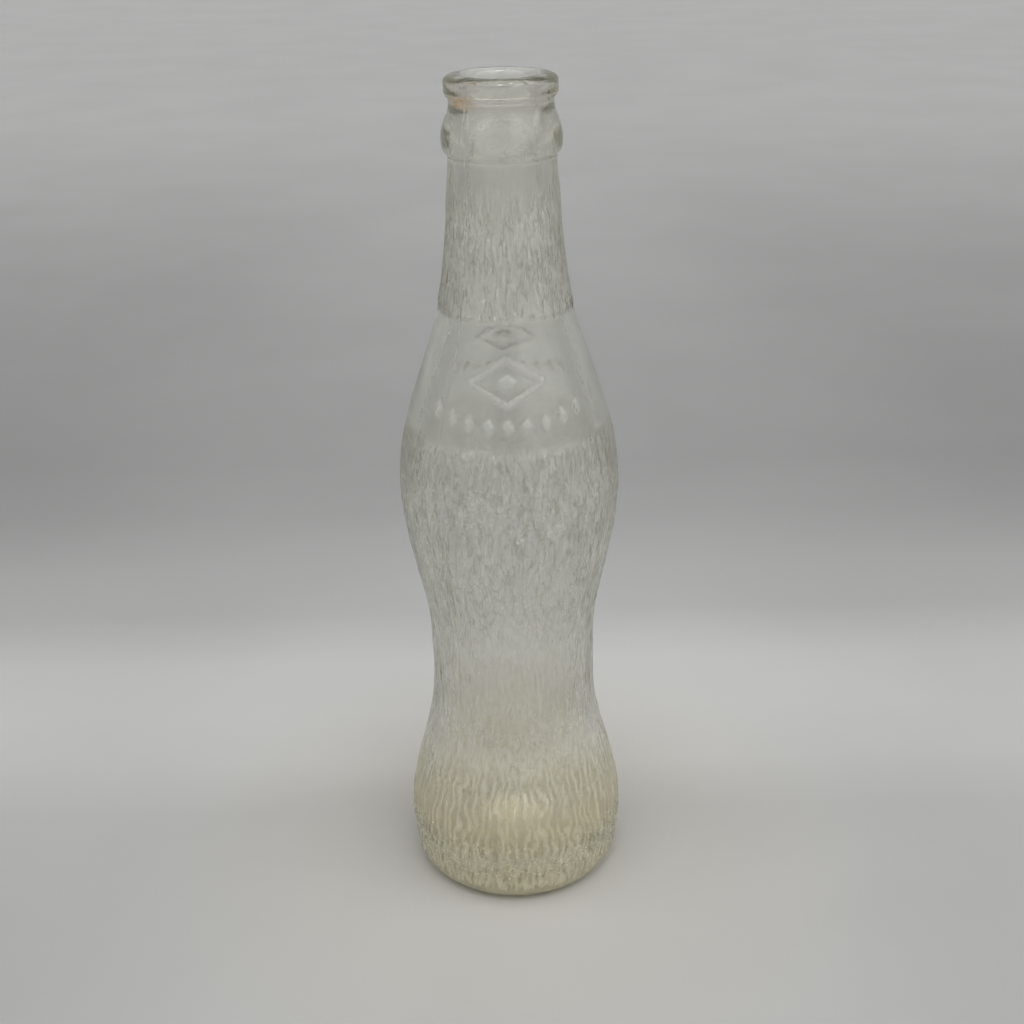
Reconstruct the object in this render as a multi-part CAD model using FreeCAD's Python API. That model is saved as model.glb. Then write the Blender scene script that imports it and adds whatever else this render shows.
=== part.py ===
import FreeCAD, Part
import os
import math

# Vintage clear-glass soda bottle, empty and uncapped: one moulded piece of
# glass, swelling at the shoulder, pinched at a belt round the waist and
# flaring again to a rounded heel.  Units mm, +Z up, origin at the centre of
# the plane the bottle stands on.

# ---------------------------------------------------------------- dimensions
HEIGHT = 215.6            # standing plane to top of lip

# crown finish, measured down from the top of the lip
BORE_R = 8.0              # straight throat
BORE_TOP_DEPTH = 1.7      # where the rounded mouth edge meets the throat
BORE_END_DEPTH = 27.7     # where the throat starts to open into the neck
LIP_IN_R = 9.7            # crest of the lip, inner side
LIP_OUT_R = 10.5          # crest of the lip, outer side
BEAD_R = 13.3             # locking bead of a 26 mm crown finish
BEAD_TOP_DEPTH = 1.6      # cylindrical land of the bead starts
BEAD_END_DEPTH = 3.7      # ... and ends
RECESS_R = 12.28          # groove the crown's skirt is crimped into
RECESS_TOP_DEPTH = 5.5
RECESS_END_DEPTH = 6.7
RING_R = 14.3             # reinforcing ring under the groove
RING_DEPTH = 14.3         # its widest level
RING_STEP_DEPTH = 16.6    # where it turns in to the neck
NECK_TOP_R = 12.9
NECK_TOP_DEPTH = 18.0

# body, outer radius at height above the standing plane (height, radius)
HEEL_Z = 7.0              # heel rounding ends
HEEL_R = 28.45
OUTER = [
    (11.0, 28.85), (15.5, 29.10), (20.0, 28.92), (25.0, 28.25), (30.0, 27.14),
    (35.5, 25.70), (41.0, 24.28), (46.5, 22.98), (51.5, 22.02), (57.0, 21.52),
    (63.5, 21.46), (70.0, 21.55), (75.5, 21.78), (80.5, 22.36), (86.0, 23.42),
    (92.0, 24.66), (98.0, 25.92), (104.0, 26.96), (110.0, 27.65), (116.0, 27.90),
    (122.0, 27.52), (128.0, 26.58), (134.0, 25.22), (140.0, 23.40), (146.0, 21.32),
    (152.0, 19.24), (158.0, 17.34), (164.0, 15.88), (170.0, 14.86), (176.0, 14.14),
    (182.0, 13.63), (188.0, 13.28), (193.0, 13.06),
]

# foot: flat bearing ring round a shallow push-up
FOOT_OUT_R = 21.5
FOOT_IN_R = 17.0
PUSHUP_RISE = 3.2

# inside: throat, then a wall that thickens towards the heel (height, radius)
INNER = [
    (181.0, 8.70), (174.0, 9.90), (167.0, 11.20), (160.0, 12.95), (153.0, 15.05),
    (146.0, 17.45), (139.0, 19.90), (132.0, 21.95), (124.0, 23.62), (116.0, 24.28),
    (108.0, 23.90), (100.0, 22.62), (92.0, 20.90), (84.0, 19.16), (77.0, 18.02),
    (70.0, 17.62), (63.0, 17.52), (56.0, 17.72), (49.0, 18.62), (42.0, 20.12),
    (35.0, 21.80), (28.5, 23.20), (23.5, 23.75),
]
INNER_CORNER_Z = 20.0     # where the inside turns towards the bottom
INNER_CORNER_R = 23.80
INNER_BOTTOM = [(14.8, 22.6), (11.6, 19.2), (10.1, 14.2), (9.5, 8.0)]
INNER_CENTRE_Z = 9.35     # inside bottom at the axis


def v(r, z):
    return FreeCAD.Vector(r, 0.0, z)


def line(a, b):
    return Part.LineSegment(a, b).toShape()


def spline(points, start=None, end=None):
    curve = Part.BSplineCurve()
    if start is not None:
        curve.interpolate(Points=points, InitialTangent=start, FinalTangent=end)
    else:
        curve.interpolate(Points=points)
    return curve.toShape()


def quarter(a, b, corner):
    """Conic quarter from a to b, tangent to the lines through corner."""
    w = math.sqrt(0.5)
    curve = Part.BSplineCurve()
    curve.buildFromPolesMultsKnots([a, corner, b], [3, 3], [0.0, 1.0], False, 2,
                                   [1.0, w, 1.0])
    return curve.toShape()


def glass_bottle():
    top = HEIGHT
    up, down = FreeCAD.Vector(0, 0, 1), FreeCAD.Vector(0, 0, -1)
    out, inward = FreeCAD.Vector(1, 0, 0), FreeCAD.Vector(-1, 0, 0)
    edges = []

    # outside, from the foot to the lip
    foot_in, foot_out = v(FOOT_IN_R, 0), v(FOOT_OUT_R, 0)
    edges.append(line(foot_in, foot_out))
    heel_top = v(HEEL_R, HEEL_Z)
    edges.append(quarter(foot_out, heel_top, v(HEEL_R, 0)))
    neck_top = v(NECK_TOP_R, top - NECK_TOP_DEPTH)
    body = [heel_top] + [v(r, z) for z, r in OUTER] + [neck_top]
    edges.append(spline(body, FreeCAD.Vector(0, 0, 1), FreeCAD.Vector(0, 0, 1)))
    ring_low = v(RING_R - 0.25, top - RING_STEP_DEPTH)
    ring_max = v(RING_R, top - RING_DEPTH)
    edges.append(spline([neck_top, v((NECK_TOP_R + RING_R) / 2 - 0.05, top - NECK_TOP_DEPTH + 0.55),
                         ring_low, ring_max], up, up))
    recess_low = v(RECESS_R, top - RECESS_END_DEPTH)
    edges.append(spline([ring_max, v(RING_R - 0.42, top - RING_DEPTH + 2.6),
                         v(RING_R - 1.32, top - RING_DEPTH + 5.3), recess_low], up, up))
    recess_top = v(RECESS_R, top - RECESS_TOP_DEPTH)
    edges.append(line(recess_low, recess_top))
    bead_low = v(BEAD_R, top - BEAD_END_DEPTH)
    edges.append(spline([recess_top, v((RECESS_R + BEAD_R) / 2, top - (RECESS_TOP_DEPTH + BEAD_END_DEPTH) / 2 - 0.25),
                         bead_low], up, up))
    bead_top = v(BEAD_R, top - BEAD_TOP_DEPTH)
    edges.append(line(bead_low, bead_top))
    crest_out, crest_in = v(LIP_OUT_R, top), v(LIP_IN_R, top)
    edges.append(quarter(bead_top, crest_out, v(BEAD_R, top)))
    edges.append(line(crest_out, crest_in))

    # inside, from the lip to the bottom
    bore_top = v(BORE_R, top - BORE_TOP_DEPTH)
    edges.append(quarter(crest_in, bore_top, v(BORE_R, top)))
    bore_end = v(BORE_R, top - BORE_END_DEPTH)
    edges.append(line(bore_top, bore_end))
    corner = v(INNER_CORNER_R, INNER_CORNER_Z)
    inside = [bore_end] + [v(r, z) for z, r in INNER] + [corner]
    edges.append(spline(inside, down, down))
    centre_in = v(0, INNER_CENTRE_Z)
    bottom = [corner] + [v(r, z) for z, r in INNER_BOTTOM] + [centre_in]
    edges.append(spline(bottom, down, inward))

    # axis and push-up
    centre_out = v(0, PUSHUP_RISE)
    edges.append(line(centre_in, centre_out))
    push = [centre_out, v(6.0, PUSHUP_RISE - 0.35), v(11.5, PUSHUP_RISE - 1.15), v(15.2, 0.95), foot_in]
    edges.append(spline(push, out, FreeCAD.Vector(1, 0, -0.75)))

    wire = Part.Wire(Part.__sortEdges__(edges))
    face = Part.Face(wire)
    solid = face.revolve(FreeCAD.Vector(0, 0, 0), FreeCAD.Vector(0, 0, 1), 360)
    if solid.ShapeType != "Solid":
        solid = Part.Solid(solid.Shells[0])
    if solid.Volume < 0:
        solid.reverse()
    return solid


def main():
    os.makedirs("parts", exist_ok=True)
    bottle = glass_bottle()
    box = bottle.BoundBox
    print("glass_bottle valid", bottle.isValid(), "closed", bottle.isClosed(),
          "volume cm3 %.1f" % (bottle.Volume / 1000),
          "box %.2f %.2f %.2f .. %.2f %.2f %.2f" % (box.XMin, box.YMin, box.ZMin,
                                                    box.XMax, box.YMax, box.ZMax))
    capacity = 0.0
    brim = Part.makeCylinder(60, HEIGHT - 0.05).cut(bottle)
    for s in brim.Solids:
        if s.BoundBox.XMax < 40 and s.BoundBox.ZMax > 100:
            capacity = s.Volume / 1000
    print("capacity to the brim ml %.0f, glass mass g %.0f" % (capacity, bottle.Volume / 1000 * 2.5))
    bottle.exportStep("parts/glass_bottle.step")


main()
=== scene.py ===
import math

import bpy
import numpy as np
from mathutils import Euler, Matrix, Vector


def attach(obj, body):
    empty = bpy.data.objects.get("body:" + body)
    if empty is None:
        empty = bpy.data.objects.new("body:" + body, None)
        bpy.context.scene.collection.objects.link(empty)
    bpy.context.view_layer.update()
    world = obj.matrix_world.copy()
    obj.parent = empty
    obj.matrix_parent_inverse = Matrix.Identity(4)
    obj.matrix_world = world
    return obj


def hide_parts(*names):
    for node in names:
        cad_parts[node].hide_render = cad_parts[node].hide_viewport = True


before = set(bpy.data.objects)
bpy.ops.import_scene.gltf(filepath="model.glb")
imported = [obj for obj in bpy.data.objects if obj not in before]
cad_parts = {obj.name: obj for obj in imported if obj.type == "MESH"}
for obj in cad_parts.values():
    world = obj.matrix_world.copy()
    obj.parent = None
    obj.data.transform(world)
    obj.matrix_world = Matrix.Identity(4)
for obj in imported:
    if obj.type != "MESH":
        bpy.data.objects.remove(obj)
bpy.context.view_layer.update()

MM = 0.001

# ---------------------------------------------------------------- profile (mm)
HEIGHT = 215.6
OUTER = [
    (11.0, 28.85), (15.5, 29.10), (20.0, 28.92), (25.0, 28.25), (30.0, 27.14),
    (35.5, 25.70), (41.0, 24.28), (46.5, 22.98), (51.5, 22.02), (57.0, 21.52),
    (63.5, 21.46), (70.0, 21.55), (75.5, 21.78), (80.5, 22.36), (86.0, 23.42),
    (92.0, 24.66), (98.0, 25.92), (104.0, 26.96), (110.0, 27.65), (116.0, 27.90),
    (122.0, 27.52), (128.0, 26.58), (134.0, 25.22), (140.0, 23.40), (146.0, 21.32),
    (152.0, 19.24), (158.0, 17.34), (164.0, 15.88), (170.0, 14.86), (176.0, 14.14),
    (182.0, 13.63), (188.0, 13.28), (193.0, 13.06),
]
INNER = [
    (181.0, 8.70), (174.0, 9.90), (167.0, 11.20), (160.0, 12.95), (153.0, 15.05),
    (146.0, 17.45), (139.0, 19.90), (132.0, 21.95), (124.0, 23.62), (116.0, 24.28),
    (108.0, 23.90), (100.0, 22.62), (92.0, 20.90), (84.0, 19.16), (77.0, 18.02),
    (70.0, 17.62), (63.0, 17.52), (56.0, 17.72), (49.0, 18.62), (42.0, 20.12),
    (35.0, 21.80), (28.5, 23.20), (23.5, 23.75),
]
CORNER = (23.80, 20.0)
BOTTOM = [(22.6, 14.8), (19.2, 11.6), (14.2, 10.1), (8.0, 9.5)]
CENTRE_Z = 9.35


def cubic(points, start, end):
    """Interpolating cubic through points (r, z), parameter by chord length, with end tangents."""
    p = np.asarray(points, float)
    t = np.concatenate([[0.0], np.cumsum(np.linalg.norm(np.diff(p, axis=0), axis=1))])
    n = len(p)
    h = np.diff(t)
    a = np.zeros((n, n))
    b = np.zeros((n, 2))
    a[0, 0] = 1
    b[0] = start
    a[-1, -1] = 1
    b[-1] = end
    for i in range(1, n - 1):
        a[i, i - 1] = h[i]
        a[i, i] = 2 * (h[i - 1] + h[i])
        a[i, i + 1] = h[i - 1]
        b[i] = 3 * (h[i] * (p[i] - p[i - 1]) / h[i - 1] + h[i - 1] * (p[i + 1] - p[i]) / h[i])
    d = np.linalg.solve(a, b)

    def at(s):
        s = np.clip(np.asarray(s, float), 0, t[-1])
        i = np.clip(np.searchsorted(t, s, side="right") - 1, 0, n - 2)
        u = ((s - t[i]) / h[i])[:, None]
        hi = h[i][:, None]
        return ((1 + 2 * u) * (1 - u) ** 2 * p[i] + u * (1 - u) ** 2 * hi * d[i]
                + u * u * (3 - 2 * u) * p[i + 1] + u * u * (u - 1) * hi * d[i + 1])

    return at, t[-1]


def conic(a, c, b, n):
    """Quarter conic from a to b with its corner at c, without its first point."""
    u = np.linspace(0, 1, n + 1)[1:, None]
    w = math.sqrt(0.5)
    top = (1 - u) ** 2 * np.array(a) + 2 * w * u * (1 - u) * np.array(c) + u * u * np.array(b)
    return top / ((1 - u) ** 2 + 2 * w * u * (1 - u) + u * u)


def run(points, start, end, step):
    at, length = cubic(points, start, end)
    n = max(2, int(round(length / step)))
    return at(np.linspace(0, length, n + 1)[1:])


N_BIG, N_MID, N_LOW = 504, 252, 126


def profile_chain():
    """Every ring from the middle of the push-up, up the outside, over the lip and down to the inside bottom,
    as (r, z, points round the ring, part), part 0 under, 1 outside, 2 inside."""
    T = HEIGHT
    chain = []

    def add(points, n, part):
        for r, z in points:
            chain.append((r, z, n, part))

    push = [(17.0, 0.0), (15.2, 0.95), (11.5, 2.05), (6.0, 2.85), (0.0, 3.2)]
    p = run(push, (-0.8, 0.6), (-1, 0), 1.1)[:-1][::-1]
    p[:, 1] -= 0.16 * np.exp(-((p[:, 0] - 8.3) / 0.7) ** 2)     # ring mark left by the gathering machine
    add(p, N_LOW, 0)
    add([(17.0, 0.02), (18.4, 0.0)], N_LOW, 0)
    add([(19.6, 0.0)], N_MID, 0)
    add([(20.7, 0.0), (21.4, 0.02)], N_BIG, 1)
    add(conic((21.4, 0.02), (28.45, 0.02), (28.45, 7.0), 9), N_BIG, 1)
    body = [(28.45, 7.0)] + [(r, z) for z, r in OUTER] + [(12.9, T - 18.0)]
    at, length = cubic(body, (0, 1), (0, 1))
    s = np.linspace(0, length, 4000)
    p = at(s)

    # ring spacing by level: fine where the surface is moulded, wider where it is plain
    def spacing(z):
        if z < 47: return 1.30
        if z < 134: return 1.62
        if z < 154: return 0.68
        if z < 160: return 1.3
        if z < 165: return 0.62
        if z < 190: return 1.45
        return 1.3
    k = 0
    while k < len(s) - 1:
        nxt = s[k] + spacing(p[k, 1])
        k2 = int(np.searchsorted(s, nxt))
        if k2 >= len(s) - 1 or s[-1] - s[k2] < 0.7:
            k2 = len(s) - 1
        add([p[k2]], N_BIG if p[k2, 1] < 191.5 else N_MID, 1)
        k = k2
    up = (0, 1)
    add(run([(12.9, T - 18.0), (13.55, T - 17.45), (14.05, T - 16.6), (14.3, T - 14.3)], up, up, 0.5), N_MID, 1)
    add(run([(14.3, T - 14.3), (13.88, T - 11.7), (12.98, T - 9.0), (12.28, T - 6.7)], up, up, 0.85), N_MID, 1)
    add(run([(12.28, T - 6.7), (12.28, T - 5.5)], up, up, 0.6), N_MID, 1)
    add(run([(12.28, T - 5.5), (12.79, T - 4.85), (13.3, T - 3.7)], up, up, 0.45), N_MID, 1)
    add(run([(13.3, T - 3.7), (13.3, T - 1.6)], up, up, 0.7), N_MID, 1)
    add(conic((13.3, T - 1.6), (13.3, T), (10.5, T), 7), N_MID, 1)
    add([(10.1, T)], N_MID, 1)
    down = (0, -1)
    add([(9.7, T)], N_MID, 2)
    add(conic((9.7, T), (8.0, T), (8.0, T - 1.7), 6), N_MID, 2)
    add(run([(8.0, T - 1.7), (8.0, T - 27.7)], down, down, 4.0), N_LOW, 2)
    inside = [(8.0, T - 27.7)] + [(r, z) for z, r in INNER] + [CORNER]
    add(run(inside, down, down, 3.4), N_LOW, 2)
    add(run([CORNER] + BOTTOM + [(0.0, CENTRE_Z)], down, (-1, 0), 1.5)[:-1], N_LOW, 2)
    return chain


# ---------------------------------------------------------------- noise
class Noise:
    """Gradient noise in three dimensions, the same on every run."""

    def __init__(self, seed):
        rng = np.random.RandomState(seed)
        self.perm = np.tile(rng.permutation(256), 3)
        g = rng.normal(size=(256, 3))
        self.grad = g / np.linalg.norm(g, axis=1)[:, None]

    def __call__(self, p):
        p = np.asarray(p, float)
        i = np.floor(p).astype(int)
        f = p - i
        u = f * f * f * (f * (f * 6 - 15) + 10)
        i &= 255
        total = 0.0
        for dx in (0, 1):
            for dy in (0, 1):
                for dz in (0, 1):
                    idx = self.perm[self.perm[self.perm[i[:, 0] + dx] + i[:, 1] + dy] + i[:, 2] + dz]
                    g = self.grad[idx]
                    d = f - np.array([dx, dy, dz])
                    w = ((u[:, 0] if dx else 1 - u[:, 0]) * (u[:, 1] if dy else 1 - u[:, 1])
                         * (u[:, 2] if dz else 1 - u[:, 2]))
                    total = total + w * np.einsum("ij,ij->i", g, d)
        return total * 1.5


N1, N2, N3, N4 = Noise(11), Noise(23), Noise(37), Noise(53)


def smooth(x, a, b):
    t = np.clip((x - a) / (b - a), 0, 1)
    return t * t * (3 - 2 * t)


def bark(p, width, tall, shift=0.0, sharp=2.0, minor=0.62):
    """Height from 0 to 1 of wavy upright ridges that split and join, width and height of a cell in mm."""
    q = np.column_stack([p[:, 0] / width, p[:, 1] / width, p[:, 2] / tall]) + shift
    warp = np.column_stack([N2(q * 0.6 + 7.3), N3(q * 0.6 + 3.1), N4(q * 0.6 + 5.9)])
    q = q + warp * np.array([0.8, 0.8, 0.5])
    a = np.clip(1 - np.abs(N1(q)) / 0.40, 0, 1) ** sharp
    b = np.clip(1 - np.abs(N3(q * 1.9 + 11.7)) / 0.40, 0, 1) ** sharp
    return np.maximum(a, minor * b) + 0.15 * a * b


def wavy(theta, p, count, tall, shift, bend=0.95, sharp=2.0):
    """Height from 0 to 1 of count upright ridges round the bottle that waver, thin out and run into each other."""
    q = np.column_stack([p[:, 0] / tall * 1.5, p[:, 1] / tall * 1.5, p[:, 2] / tall]) + shift
    phase = count * theta / (2 * math.pi) + bend * N2(q) + 0.42 * bend * N3(q * 2.1 + 4.7)
    k = (0.5 + 0.5 * np.cos(2 * math.pi * phase)) ** sharp
    fade = np.clip(0.85 + 0.70 * N4(q * np.array([1.6, 1.6, 1.1]) + 8.9), 0.40, 1.1)
    return k * fade


# ---------------------------------------------------------------- relief
SEAM_AT = (math.radians(-90 - 40.5), math.radians(90 - 40.5))


def relief(theta, r, z):
    """How far the surface stands off the plain profile, in mm, and how much of a crest each point is."""
    p = np.column_stack([r * np.cos(theta), r * np.sin(theta), z])
    h = np.zeros(len(p))
    crest = np.zeros(len(p))
    front = np.cos(theta + math.pi / 2)          # 1 and -1 at the middle of the two panels
    # neck: fine bark that fades in from the plain band under the ring, ends in a scalloped edge
    scallop = 161.3 + 1.15 * np.abs(np.sin(theta * 16.0)) + 0.35 * N2(p * 0.25)
    in_neck = smooth(z, scallop - 0.35, scallop + 0.45) * (1 - smooth(z, 187.0, 195.0))
    depth = 0.14 + 0.10 * (1 - smooth(z, 166.0, 186.0))
    k = np.maximum(wavy(theta, p, 76, 6.5, 0.3, 1.0, 1.6), 0.75 * bark(p, 1.35, 5.4, 0.0, 1.6))
    h += in_neck * (depth * (k - 0.40) + 0.22)
    crest += in_neck * k ** 1.5
    # belly: from under the panel to the waist
    edge = 131.0 + 3.2 * np.abs(front) ** 0.7 + 0.8 * N3(p * 0.22)
    in_belly = (1 - smooth(z, edge - 2.5, edge)) * smooth(z, 73.0, 76.0)
    strong = 0.75 + 0.25 * (1 - smooth(z, 88.0, 126.0))
    k = np.maximum(wavy(theta, p, 84, 6.0, 3.3, 1.1), 0.8 * bark(p, 1.7, 5.0, 3.7))
    h += in_belly * strong * (0.32 * (k - 0.40))
    crest += in_belly * strong * k ** 1.5
    # waist belt: longer streaks
    in_waist = (1 - smooth(z, 73.0, 76.0)) * smooth(z, 49.0, 52.0)
    k = np.maximum(wavy(theta, p, 84, 10.0, 6.3), 0.55 * bark(p, 1.8, 9.0, 9.1))
    h += in_waist * (0.28 * (k - 0.36) + 0.12)
    crest += in_waist * 0.75 * k ** 1.5
    # skirt: faint above, strong wavy ridges below
    in_top = (1 - smooth(z, 49.0, 52.0)) * smooth(z, 36.0, 44.0)
    k = bark(p, 1.5, 5.2, 15.3)
    h += in_top * (0.22 * (k - 0.36))
    crest += in_top * 0.6 * k
    in_skirt = (1 - smooth(z, 36.0, 44.0)) * smooth(z, 3.5, 7.0)
    k = np.maximum(wavy(theta, p, 76, 6.0, 12.3, 0.85, 1.8), 0.4 * bark(p, 1.9, 6.0, 21.9))
    foot = 0.55 + 0.45 * smooth(z, 10.0, 19.0)
    k = np.maximum(k, (1 - smooth(z, 13.0, 22.0)) * 0.9 * bark(p, 1.5, 3.6, 31.3))
    h += in_skirt * foot * (0.36 * (k - 0.38))
    crest += in_skirt * (1.25 - 0.35 * smooth(z, 12.0, 22.0)) * k ** 1.5
    # mould seams
    for at in SEAM_AT:
        d = np.abs((theta - at + math.pi) % (2 * math.pi) - math.pi) * r
        h += (0.20 * np.exp(-(d / 0.20) ** 2)) * (1 - smooth(z, HEIGHT - 6.0, HEIGHT - 5.0)) * smooth(z, 4.0, 8.0)
    return h, np.clip(crest, 0, 1)


def ornament(theta, r, z):
    """Plain raised beadwork on the smooth panels, front and back."""
    h = np.zeros_like(z)
    for side in (-math.pi / 2, math.pi / 2):
        a = (theta - side + math.pi) % (2 * math.pi) - math.pi
        s = a * 22.0                                # mm along the panel
        for k in range(-4, 5):                      # row of lozenges on a shallow arc
            c = k * 4.3
            zz = 137.8 + 0.010 * c * c
            d = np.abs(s - c) / 1.5 + np.abs(z - zz) / 2.0
            h = np.maximum(h, 0.65 * (1 - smooth(d, 0.78, 1.05)))
        d = np.abs(np.abs(s) / 9.5 + np.abs(z - 148.0) / 5.2 - 1.0)      # large open lozenge
        h = np.maximum(h, 0.60 * (1 - smooth(d, 0.06, 0.13)))
        d = np.abs(s) / 3.2 + np.abs(z - 148.0) / 1.9                    # solid lozenge inside it
        h = np.maximum(h, 0.60 * (1 - smooth(d, 0.76, 1.05)))
    return h


# ---------------------------------------------------------------- the bottle
def make_bottle():
    chain = profile_chain()
    rz = np.array([(c[0], c[1]) for c in chain])
    t = np.gradient(rz, axis=0)
    nrm = np.column_stack([t[:, 1], -t[:, 0]])
    nrm /= np.maximum(np.linalg.norm(nrm, axis=1), 1e-9)[:, None]
    theta, ring, part = [], [], []
    start = []
    count = 1                                         # vertex 0 is the middle of the push-up
    for k, c in enumerate(chain):
        start.append(count)
        theta.append(np.arange(c[2]) * (2 * math.pi / c[2]))
        ring.append(np.full(c[2], k))
        count += c[2]
    theta = np.concatenate(theta)
    ring = np.concatenate(ring)
    part = np.array([c[3] for c in chain])[ring]
    r, z = rz[ring, 0], rz[ring, 1]
    n = nrm[ring]
    p = np.column_stack([r * np.cos(theta), r * np.sin(theta), z])
    # outside: moulded relief, slow waviness of hand-cut moulds, a lip worn by opening
    h_out, crest = relief(theta, r, z)
    raised = ornament(theta, r, z)
    h_out += raised
    crest = np.maximum(crest, 1.1 * raised)
    h_out += 0.05 * N4(p / 9.0) * smooth(z, 6, 12)
    h_out += 0.06 * smooth(z, HEIGHT - 2.6, HEIGHT - 0.2) * N2(p / 1.3)
    h_out *= smooth(z, 0.3, 3.0)
    # inside: uneven wall of blown glass
    m = smooth(z, 9.0, 22.0) * (1 - smooth(z, HEIGHT - 30, HEIGHT - 16))
    h_in = m * (0.30 * N1(p / np.array([13.0, 13.0, 26.0])) + 0.12 * N2(p / np.array([6.0, 6.0, 14.0])))
    h = np.where(part == 1, h_out, np.where(part == 2, h_in, 0.0))
    r2 = r + n[:, 0] * h
    z2 = z + n[:, 1] * h
    verts = np.column_stack([r2 * np.cos(theta), r2 * np.sin(theta), z2])
    verts = np.vstack([[0, 0, 3.2], verts, [0, 0, CENTRE_Z]])
    last = len(verts) - 1
    faces = []
    n0 = chain[0][2]
    for j in range(n0):
        faces.append((0, start[0] + (j + 1) % n0, start[0] + j))
    for k in range(len(chain) - 1):
        a, b = start[k], start[k + 1]
        na, nb = chain[k][2], chain[k + 1][2]
        if na == nb:
            for j in range(na):
                j2 = (j + 1) % na
                faces.append((a + j, a + j2, b + j2, b + j))
        elif nb == 2 * na:
            for j in range(na):
                j2 = (j + 1) % na
                f = [b + (2 * j + m) % nb for m in range(3)]
                faces += [(a + j, f[1], f[0]), (a + j, a + j2, f[1]), (a + j2, f[2], f[1])]
        elif na == 2 * nb:
            for j in range(nb):
                j2 = (j + 1) % nb
                f = [a + (2 * j + m) % na for m in range(3)]
                faces += [(f[0], f[1], b + j), (f[1], b + j2, b + j), (f[1], f[2], b + j2)]
        else:
            raise ValueError("rings do not match")
    nl = chain[-1][2]
    for j in range(nl):
        faces.append((last, start[-1] + j, start[-1] + (j + 1) % nl))
    mesh = bpy.data.meshes.new("glass_bottle_shell")
    mesh.from_pydata([tuple(v * MM) for v in verts], [], faces)
    mesh.validate()
    mesh.update()
    level = mesh.attributes.new("crest", "FLOAT", "POINT")
    level.data.foreach_set("value", np.concatenate([[0], np.where(part == 1, crest, 0), [0]]).astype(np.float32))
    inner = mesh.attributes.new("inner", "FLOAT", "POINT")
    inner.data.foreach_set("value", np.concatenate([[0], np.where(part == 2, 1, 0), [1]]).astype(np.float32))
    mesh.polygons.foreach_set("use_smooth", [True] * len(mesh.polygons))
    ob = bpy.data.objects.new("bottle_glass", mesh)
    bpy.context.scene.collection.objects.link(ob)
    tris = sum(len(f) - 2 for f in faces)
    print("bottle rings", len(chain), "triangles", tris)
    return ob


# ---------------------------------------------------------------- materials
def node(tree, kind, **values):
    n = tree.nodes.new(kind)
    for k, v in values.items():
        if k.startswith("in_"):
            n.inputs[k[3:].replace("_", " ")].default_value = v
        else:
            setattr(n, k, v)
    return n


def math_node(tree, op, a, b=None, clamp=False):
    n = tree.nodes.new("ShaderNodeMath")
    n.operation = op
    n.use_clamp = clamp
    for i, v in enumerate((a, b)):
        if v is None:
            continue
        if isinstance(v, (int, float)):
            n.inputs[i].default_value = v
        else:
            tree.links.new(v, n.inputs[i])
    return n.outputs[0]


def map_range(tree, value, a, b, c, d, kind="SMOOTHSTEP"):
    n = tree.nodes.new("ShaderNodeMapRange")
    n.interpolation_type = kind
    tree.links.new(value, n.inputs["Value"])
    n.inputs["From Min"].default_value = a
    n.inputs["From Max"].default_value = b
    n.inputs["To Min"].default_value = c
    n.inputs["To Max"].default_value = d
    return n.outputs["Result"]


def mix_color(tree, fac, a, b):
    n = tree.nodes.new("ShaderNodeMix")
    n.data_type = "RGBA"
    if isinstance(fac, (int, float)):
        n.inputs[0].default_value = fac
    else:
        tree.links.new(fac, n.inputs[0])
    for i, v in ((6, a), (7, b)):
        if isinstance(v, tuple):
            n.inputs[i].default_value = v
        else:
            tree.links.new(v, n.inputs[i])
    return n.outputs[2]


def ramp_node(tree, value, lo, hi, stops, warm=(1, 1, 1), kind="EASE"):
    """Colour ramp over value from lo to hi, stops (value, level)."""
    ramp = tree.nodes.new("ShaderNodeValToRGB")
    ramp.color_ramp.interpolation = kind
    tree.links.new(map_range(tree, value, lo, hi, 0.0, 1.0, "LINEAR"), ramp.inputs[0])
    while len(ramp.color_ramp.elements) < len(stops):
        ramp.color_ramp.elements.new(0.5)
    for e, (at, v) in zip(ramp.color_ramp.elements, stops):
        e.position = (at - lo) / (hi - lo)
        e.color = (v * warm[0], v * warm[1], v * warm[2], 1)
    return ramp.outputs[0]


def multiply_color(tree, a, b):
    n = tree.nodes.new("ShaderNodeMix")
    n.data_type = "RGBA"
    n.blend_type = "MULTIPLY"
    n.inputs[0].default_value = 1.0
    for i, v in ((6, a), (7, b)):
        if isinstance(v, tuple):
            n.inputs[i].default_value = v
        else:
            tree.links.new(v, n.inputs[i])
    return n.outputs[2]


def radius_of(tree, x, y):
    return math_node(tree, "SQRT", math_node(tree, "ADD", math_node(tree, "MULTIPLY", x, x), math_node(tree, "MULTIPLY", y, y)))


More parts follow.
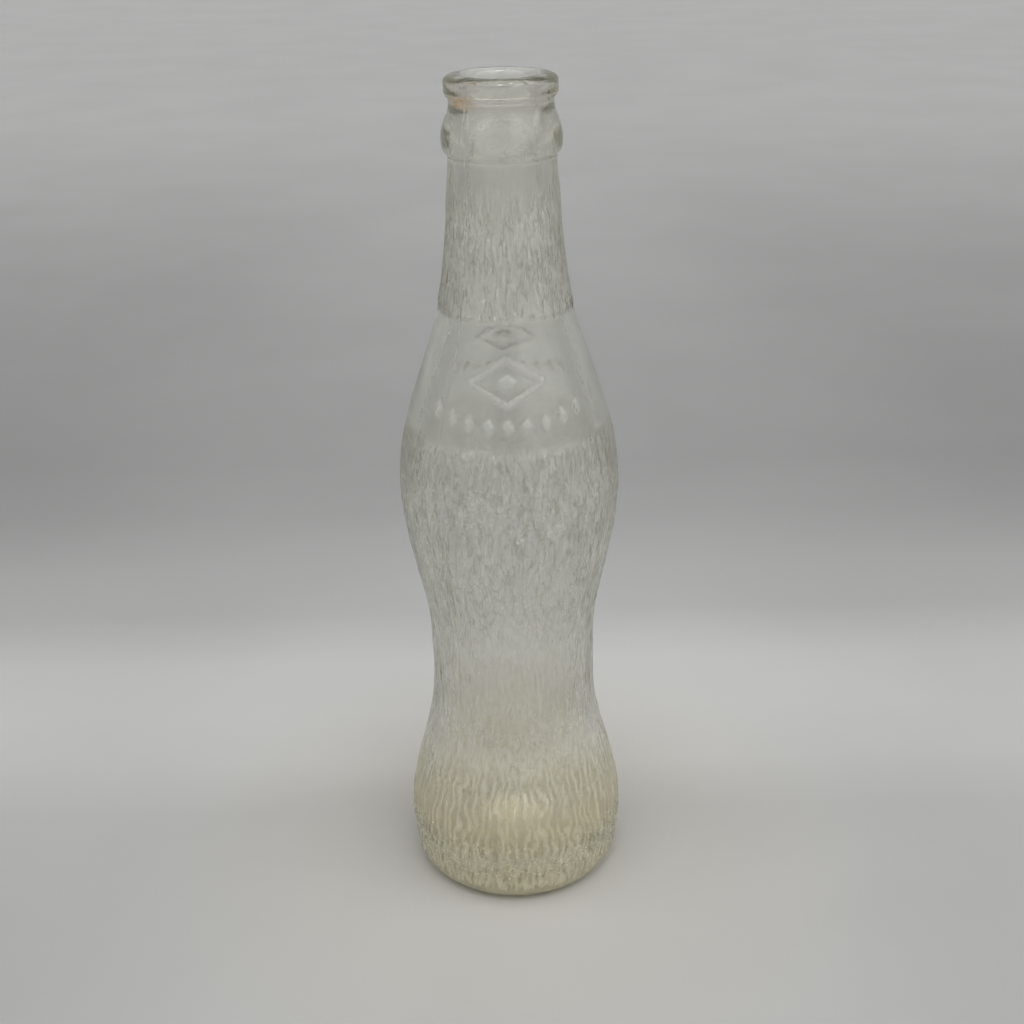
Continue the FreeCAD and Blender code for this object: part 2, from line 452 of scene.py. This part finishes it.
def glass_material():
    mat = bpy.data.materials.new("old_soda_glass")
    mat.use_nodes = True
    tree = mat.node_tree
    tree.nodes.clear()
    L = tree.links.new
    out = tree.nodes.new("ShaderNodeOutputMaterial")
    bsdf = tree.nodes.new("ShaderNodeBsdfPrincipled")
    bsdf.inputs["IOR"].default_value = 1.52
    L(bsdf.outputs[0], out.inputs["Surface"])
    vol = tree.nodes.new("ShaderNodeVolumeAbsorption")
    vol.inputs["Color"].default_value = (0.85, 0.846, 0.70, 1)
    vol.inputs["Density"].default_value = 38.0
    L(vol.outputs[0], out.inputs["Volume"])

    tc = tree.nodes.new("ShaderNodeTexCoord")
    sep = tree.nodes.new("ShaderNodeSeparateXYZ")
    L(tc.outputs["Object"], sep.inputs[0])
    x, y, z = sep.outputs
    def stored(name):
        at = tree.nodes.new("ShaderNodeAttribute")
        at.attribute_name = name
        return at.outputs["Fac"]

    crest, inside = stored("crest"), stored("inner")
    rr = radius_of(tree, x, y)
    ang = math_node(tree, "ARCTAN2", y, x)

    def noise(scale, detail=2.0, rough=0.5, stretch=(1, 1, 1)):
        m = tree.nodes.new("ShaderNodeMapping")
        m.inputs["Scale"].default_value = stretch
        L(tc.outputs["Object"], m.inputs["Vector"])
        n = tree.nodes.new("ShaderNodeTexNoise")
        n.inputs["Scale"].default_value = scale
        n.inputs["Detail"].default_value = detail
        n.inputs["Roughness"].default_value = rough
        L(m.outputs[0], n.inputs["Vector"])
        return n.outputs["Fac"]

    def mul(a, b, clamp=False):
        return math_node(tree, "MULTIPLY", a, b, clamp)

    def add(a, b, clamp=False):
        return math_node(tree, "ADD", a, b, clamp)

    # dried residue on the inside of the lower bottle, with an uneven tide line
    wob = mul(math_node(tree, "SUBTRACT", noise(70, 3), 0.5), 0.007)
    level = add(z, wob)
    tide = map_range(tree, level, 0.042, 0.026, 0.0, 1.0)
    thick = map_range(tree, level, 0.036, 0.012, 0.35, 1.0)
    patch = map_range(tree, noise(260, 4, 0.65, (1, 1, 0.6)), 0.32, 0.66, 0.55, 1.0)
    film = mul(mul(mul(inside, tide), thick), patch, True)

    # pale disc in the middle of the inside bottom: painted glow standing in for light focused through the thick
    # base; syrup dried to a browner ring round the foot of the wall
    ragged = add(rr, mul(math_node(tree, "SUBTRACT", noise(190, 3, 0.6), 0.5), 0.006))
    painted_base_glow = mul(mul(inside, map_range(tree, z, 0.0170, 0.0120, 0, 1)), map_range(tree, ragged, 0.0145, 0.0050, 0, 1))
    rim = mul(mul(inside, map_range(tree, z, 0.0310, 0.0190, 0, 1)), map_range(tree, ragged, 0.0135, 0.0185, 0, 1))

    # rust bled from an old cap, under the bead
    band = mul(map_range(tree, z, 0.2083, 0.2097, 0, 1), map_range(tree, z, 0.2122, 0.2112, 0, 1))
    outside = map_range(tree, rr, 0.0112, 0.0120, 0, 1)
    side = map_range(tree, math_node(tree, "ABSOLUTE", add(ang, 2.42)), 0.42, 0.10, 0, 1)
    faint = add(mul(side, 0.85), 0.16)
    stain = mul(mul(band, outside), faint)
    stain = mul(stain, map_range(tree, noise(420, 4, 0.6), 0.35, 0.6, 0.45, 1.0), True)

    # where the mould left bark: neck, then from the belly down to the heel
    neck = mul(map_range(tree, z, 0.1605, 0.1625, 0, 1), map_range(tree, z, 0.194, 0.184, 0, 1))
    body = mul(map_range(tree, z, 0.004, 0.007, 0, 1), map_range(tree, z, 0.1335, 0.130, 0, 1))
    barked = mul(add(neck, body, True), map_range(tree, inside, 0.0, 1.0, 1.0, 0.0), True)
    outer = map_range(tree, inside, 0.0, 1.0, 1.0, 0.0)
    straw = mul(map_range(tree, level, 0.051, 0.022, 0, 1), outer)
    skirt = mul(mul(map_range(tree, level, 0.062, 0.038, 0, 1), map_range(tree, z, 0.0080, 0.0200, 0.65, 1)), outer)

    def crease(n, width):
        """Thin lines along the middle level of a noise."""
        return map_range(tree, math_node(tree, "ABSOLUTE", math_node(tree, "SUBTRACT", n, 0.5)), 0.0, width, 1, 0)

    wrinkle = noise(430, 2, 0.55, (1, 1, 0.30))
    quiet = map_range(tree, math_node(tree, "ABSOLUTE", add(z, -0.060)), 0.014, 0.026, 0.35, 1.0)
    foot = mul(map_range(tree, level, 0.026, 0.009, 0, 1), outer)
    low = map_range(tree, z, 0.044, 0.036, 1.0, 0.25)
    pale_line = mul(mul(crease(wrinkle, 0.045), barked), mul(low, quiet))
    # painted shade: thin dark lines through the bark, in the glass colour
    painted_crease_shade = mul(mul(crease(noise(390, 2, 0.6, (1, 1, 0.26)), 0.045), barked), mul(low, quiet))

    c = mix_color(tree, film, (0.987, 0.984, 0.970, 1), (0.97, 0.925, 0.72, 1))
    c = mix_color(tree, rim, c, (0.74, 0.67, 0.42, 1))
    # painted glow: pale disc in the middle of the inside bottom
    c = mix_color(tree, painted_base_glow, c, (0.97, 0.92, 0.70, 1))
    c = mix_color(tree, straw, c, (0.975, 0.935, 0.755, 1))
    # painted shade: the glass colour darker in the valleys between the bark ridges, deepest and browner at the foot
    painted_valley_shade = mul(mul(map_range(tree, crest, 0.30, 0.02, 0, 1), barked), map_range(tree, z, 0.046, 0.020, 0.40, 1.0))
    c = mix_color(tree, painted_valley_shade, c, (0.87, 0.83, 0.68, 1))
    c = mix_color(tree, mul(painted_valley_shade, mul(foot, 0.8)), c, (0.60, 0.54, 0.36, 1))
    # painted shade along the bark creases
    c = mix_color(tree, mul(painted_crease_shade, 0.85), c, (0.66, 0.64, 0.56, 1))
    # painted shade: dark specks on the top of the lip, mostly on its back half, for the dark far edge of the rim
    painted_rim_shade = mul(mul(map_range(tree, z, 0.2136, 0.2146, 0, 1), map_range(tree, rr, 0.0104, 0.0112, 0, 1)), map_range(tree, noise(1150, 3, 0.6), 0.55, 0.62, 0, 1))
    painted_rim_shade = mul(painted_rim_shade, map_range(tree, y, 0.002, 0.008, 0.1, 1))
    worn = mul(mul(inside, map_range(tree, z, 0.2128, 0.2144, 0, 1)), map_range(tree, noise(700, 3, 0.6), 0.40, 0.60, 0.45, 1))
    c = mix_color(tree, mul(painted_rim_shade, 0.8), c, (0.28, 0.27, 0.25, 1))
    c = mix_color(tree, stain, c, (0.82, 0.50, 0.20, 1))
    L(c, bsdf.inputs["Base Color"])

    # case wear on the widest levels and the finish, handling haze everywhere
    belly = mul(map_range(tree, z, 0.104, 0.112, 0, 1), map_range(tree, z, 0.128, 0.119, 0, 1))
    heel = mul(map_range(tree, z, 0.008, 0.013, 0, 1), map_range(tree, z, 0.025, 0.018, 0, 1))
    ring = mul(map_range(tree, z, 0.1975, 0.1990, 0, 1), map_range(tree, z, 0.2045, 0.2030, 0, 1))
    bead = mul(map_range(tree, z, 0.2118, 0.2126, 0, 1), map_range(tree, rr, 0.0120, 0.0128, 0, 1))
    wear = mul(add(add(belly, heel), add(ring, bead)), map_range(tree, noise(800, 3, 0.7), 0.54, 0.68, 0, 1), True)
    scuff = mul(map_range(tree, noise(150, 5, 0.75, (1.0, 1.0, 2.2)), 0.60, 0.70, 0, 1), map_range(tree, noise(1500, 2, 0.6, (1, 1, 3)), 0.45, 0.6, 0, 1))
    finish = mul(map_range(tree, z, 0.1955, 0.1990, 0, 1), map_range(tree, z, 0.2100, 0.2075, 0, 1))
    lip = map_range(tree, z, 0.2085, 0.2110, 0, 1)

    r = map_range(tree, noise(45, 4, 0.6), 0.3, 0.7, 0.03, 0.07)
    r = mul(r, map_range(tree, lip, 0, 1, 1.0, 0.35))
    r = add(r, mul(wear, 0.20))
    r = add(r, mul(stain, 0.30))
    r = add(r, mul(film, 0.55))
    r = add(r, mul(skirt, 0.11))
    r = add(r, mul(foot, 0.12))
    r = add(r, mul(worn, 0.06))
    r = add(r, mul(mul(inside, map_range(tree, z, 0.208, 0.200, 0, 1)), 0.10))
    L(r, bsdf.inputs["Roughness"])

    # share of clear glass: the rest is a pale scattering skin
    t = map_range(tree, noise(30, 4, 0.6), 0.3, 0.7, 0.945, 0.965)
    for share, k in ((wear, -0.14), (scuff, -0.10), (film, -0.12), (mul(crest, quiet), -0.17), (mul(add(mul(quiet, -1.0), 1.0), outer), -0.15), (pale_line, -0.10), (finish, -0.03), (lip, 0.02), (skirt, -0.20), (inside, -0.02), (painted_base_glow, -0.80), (foot, -0.05), (rim, -0.42), (worn, -0.20), (painted_rim_shade, -0.75)):
        t = add(t, mul(share, k))
    t = math_node(tree, "SUBTRACT", t, mul(stain, 0.35), True)
    L(t, bsdf.inputs["Transmission Weight"])

    # fine skin of old moulded glass: upright wrinkles in the bark, an even orange peel elsewhere
    peel = add(mul(noise(330, 2, 0.5), 0.6), mul(noise(1100, 2, 0.5), 0.25))
    pebble = mul(noise(560, 1, 0.5, (1, 1, 0.7)), mul(mul(map_range(tree, z, 0.098, 0.108, 0, 1), map_range(tree, z, 0.1335, 0.130, 0, 1)),
                                                      map_range(tree, inside, 0.0, 1.0, 1.0, 0.0)))
    h = add(mul(add(wrinkle, mul(pale_line, 0.10)), add(mul(barked, low), 0.06)), add(mul(peel, 0.12), mul(pebble, 0.35)))
    b1 = tree.nodes.new("ShaderNodeBump")
    b1.inputs["Strength"].default_value = 1.0
    b1.inputs["Distance"].default_value = 0.0006
    L(h, b1.inputs["Height"])
    L(b1.outputs[0], bsdf.inputs["Normal"])
    return mat


def floor_material():
    mat = bpy.data.materials.new("pale_floor")
    mat.use_nodes = True
    tree = mat.node_tree
    bsdf = tree.nodes["Principled BSDF"]
    bsdf.inputs["Roughness"].default_value = 0.75
    bsdf.inputs["Specular IOR Level"].default_value = 0.25
    tc = tree.nodes.new("ShaderNodeTexCoord")
    sep = tree.nodes.new("ShaderNodeSeparateXYZ")
    tree.links.new(tc.outputs["Object"], sep.inputs[0])
    # painted light: the floor's colour follows the studio light, a bright band just behind the bottle, darker
    # further back, paler again on the far floor
    near = ramp_node(tree, sep.outputs[1], -0.10, 0.55, [(-0.1, 0.475), (-0.067, 0.472), (-0.03, 0.470), (0.0147, 0.500), (0.041, 0.565), (0.07, 0.580), (0.103, 0.560), (0.14, 0.440), (0.182, 0.406), (0.231, 0.348), (0.288, 0.324), (0.356, 0.336), (0.536, 0.370)], kind="LINEAR")
    far = ramp_node(tree, sep.outputs[1], 0.536, 4.0, [(0.536, 0.370), (0.82, 0.416), (1.33, 0.467), (2.51, 0.484), (4, 0.494)], kind="LINEAR")
    c = mix_color(tree, map_range(tree, sep.outputs[1], 0.530, 0.542, 0, 1, "LINEAR"), near, far)
    # warm tint on the floor round the bottle: partly a stain on the floor, partly painted light passed through the
    # glass
    warm = map_range(tree, radius_of(tree, sep.outputs[0], sep.outputs[1]), 0.13, 0.05, 0, 1)
    c = multiply_color(tree, c, mix_color(tree, warm, (0.985, 1.0, 0.998, 1), (1.0, 0.985, 0.95, 1)))
    # painted shade: the floor darker off to either side behind the bottle, where the studio light falls off
    painted_far_side_shade = map_range(tree, math_node(tree, "ABSOLUTE", sep.outputs[0]), 0.05, 0.26, 0, 1)
    painted_far_side_shade = math_node(tree, "MULTIPLY", painted_far_side_shade, math_node(tree, "MULTIPLY", map_range(tree, sep.outputs[1], 0.10, 0.20, 0, 1), map_range(tree, sep.outputs[1], 1.2, 0.5, 0, 1)))
    c = multiply_color(tree, c, map_range(tree, painted_far_side_shade, 0.0, 1.0, 1.0, 0.86, "LINEAR"))
    # painted shade: the floor darker to either side close to the bottle
    painted_near_side_shade = math_node(tree, "MULTIPLY", map_range(tree, math_node(tree, "ABSOLUTE", sep.outputs[0]), 0.05, 0.14, 0, 1), map_range(tree, sep.outputs[1], 0.18, 0.10, 0, 1))
    c = multiply_color(tree, c, map_range(tree, painted_near_side_shade, 0.0, 1.0, 1.0, 0.90, "LINEAR"))
    n = tree.nodes.new("ShaderNodeTexNoise")
    n.inputs["Scale"].default_value = 9.0
    n.inputs["Detail"].default_value = 5.0
    tree.links.new(tc.outputs["Object"], n.inputs["Vector"])
    f = map_range(tree, n.outputs["Fac"], 0.3, 0.7, 0.975, 1.025)
    c = multiply_color(tree, c, f)
    tree.links.new(c, bsdf.inputs["Base Color"])
    return mat


bottle = make_bottle()
bottle.data.materials.append(glass_material())
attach(bottle, "root")
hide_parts("glass_bottle")

# ---------------------------------------------------------------- stage
bpy.ops.mesh.primitive_circle_add(vertices=96, radius=4.0, fill_type="NGON", location=(0, 0, 0))
floor = bpy.context.object
floor.name = "studio_floor"
floor.data.materials.append(floor_material())

world = bpy.data.worlds.new("soft_room")
bpy.context.scene.world = world
world.use_nodes = True
wt = world.node_tree
wt.nodes.clear()
wo = wt.nodes.new("ShaderNodeOutputWorld")
bg = wt.nodes.new("ShaderNodeBackground")
wt.links.new(bg.outputs[0], wo.inputs[0])
wtc = wt.nodes.new("ShaderNodeTexCoord")
wsep = wt.nodes.new("ShaderNodeSeparateXYZ")
wt.links.new(wtc.outputs["Generated"], wsep.inputs[0])
room = ramp_node(wt, wsep.outputs[2], -0.1, 1.0, [(-0.1, 0.38), (0.0, 0.40), (0.2, 0.40), (0.45, 0.38), (0.75, 0.36), (1.0, 0.36)],
                 (1.0, 1.0, 1.0))
hor = math_node(wt, "MAXIMUM", radius_of(wt, wsep.outputs[0], wsep.outputs[1]), 0.02)
fr = math_node(wt, "DIVIDE", math_node(wt, "MULTIPLY", wsep.outputs[1], -1.0), hor)      # 1 straight to the front
side = math_node(wt, "DIVIDE", wsep.outputs[0], hor)                                      # 1 to the right
up = wsep.outputs[2]


def wm(a, b):
    return math_node(wt, "MULTIPLY", a, b)


# darker opening towards the front below the ceiling
slot = wm(map_range(wt, fr, 0.945, 0.995, 0, 1), wm(map_range(wt, up, 0.88, 0.82, 0, 1), map_range(wt, up, 0.50, 0.66, 0.4, 1)))
base = multiply_color(wt, room, map_range(wt, slot, 0.0, 1.0, 1.0, 0.45, "LINEAR"))
# wide soft window high in front
pane = wm(map_range(wt, up, 0.68, 0.76, 0, 1), map_range(wt, up, 0.95, 0.90, 0, 1))
pane = wm(pane, map_range(wt, fr, -0.2, 0.15, 0, 1))
pane = wm(pane, map_range(wt, slot, 0.0, 1.0, 1.0, 0.30, "LINEAR"))
pane = wm(pane, map_range(wt, side, -1.0, 1.0, 1.7, 2.9, "LINEAR"))
# tall soft boxes to the right and, fainter, to the left
tall = wm(wm(map_range(wt, up, 0.80, 0.72, 0, 1), map_range(wt, up, 0.30, 0.66, 0.72, 1)), map_range(wt, fr, -0.10, 0.12, 0, 1))
tall = wm(tall, map_range(wt, up, 0.06, 0.34, 0.30, 1))
box_r = wm(wm(tall, map_range(wt, side, 0.20, 0.42, 0, 1)), 1.45)
box_l = wm(wm(tall, map_range(wt, side, -0.22, -0.50, 0, 1)), 0.85)
lamp = wm(wm(map_range(wt, fr, 0.90, 0.97, 0, 1), wm(map_range(wt, up, 0.845, 0.88, 0, 1), map_range(wt, up, 0.96, 0.93, 0, 1))), 7.5)
pane = math_node(wt, "ADD", pane, lamp)
total = math_node(wt, "ADD", pane, math_node(wt, "ADD", box_r, box_l))
glow = multiply_color(wt, (1.0, 0.995, 0.975, 1.0), total)
sumc = wt.nodes.new("ShaderNodeMix")
sumc.data_type = "RGBA"
sumc.blend_type = "ADD"
sumc.clamp_result = False
sumc.inputs[0].default_value = 1.0
wt.links.new(base, sumc.inputs[6])
wt.links.new(glow, sumc.inputs[7])
wt.links.new(sumc.outputs[2], bg.inputs["Color"])
bg.inputs["Strength"].default_value = 0.84


def area(name, loc, target, size, power, color):
    data = bpy.data.lights.new(name, "AREA")
    data.shape = "RECTANGLE"
    data.size, data.size_y = size
    data.energy = power
    data.color = color
    ob = bpy.data.objects.new(name, data)
    bpy.context.scene.collection.objects.link(ob)
    ob.location = loc
    ob.rotation_euler = (Vector(target) - Vector(loc)).to_track_quat("-Z", "Y").to_euler()
    ob.visible_camera = False
    return ob


area("top_strip", (0.0, -0.01, 0.72), (0, -0.01, 0.05), (0.50, 0.024), 0.50, (1.0, 0.99, 0.97))

# ---------------------------------------------------------------- camera
cam_data = bpy.data.cameras.new("camera")
cam_data.sensor_width = 36.0
cam_data.lens = 1418.0 / 1024.0 * 36.0
cam_data.clip_start = 0.01
cam_data.clip_end = 20.0
cam = bpy.data.objects.new("camera", cam_data)
bpy.context.scene.collection.objects.link(cam)
pitch, roll = math.radians(24.70), math.radians(-1.22)
look = Matrix.Rotation(math.radians(90) - pitch, 4, "X") @ Matrix.Rotation(roll, 4, "Z")
cam.matrix_world = Matrix.Translation((0.00053, -0.3353, 0.2596)) @ look
bpy.context.scene.camera = cam

sc = bpy.context.scene
sc.view_settings.view_transform = "Standard"
sc.cycles.use_denoising = True
sc.cycles.denoising_prefilter = "ACCURATE"
sc.cycles.max_bounces = 24
sc.cycles.transmission_bounces = 24
sc.cycles.glossy_bounces = 10
sc.cycles.diffuse_bounces = 4
sc.cycles.blur_glossy = 0.3
sc.cycles.sample_clamp_indirect = 6.0
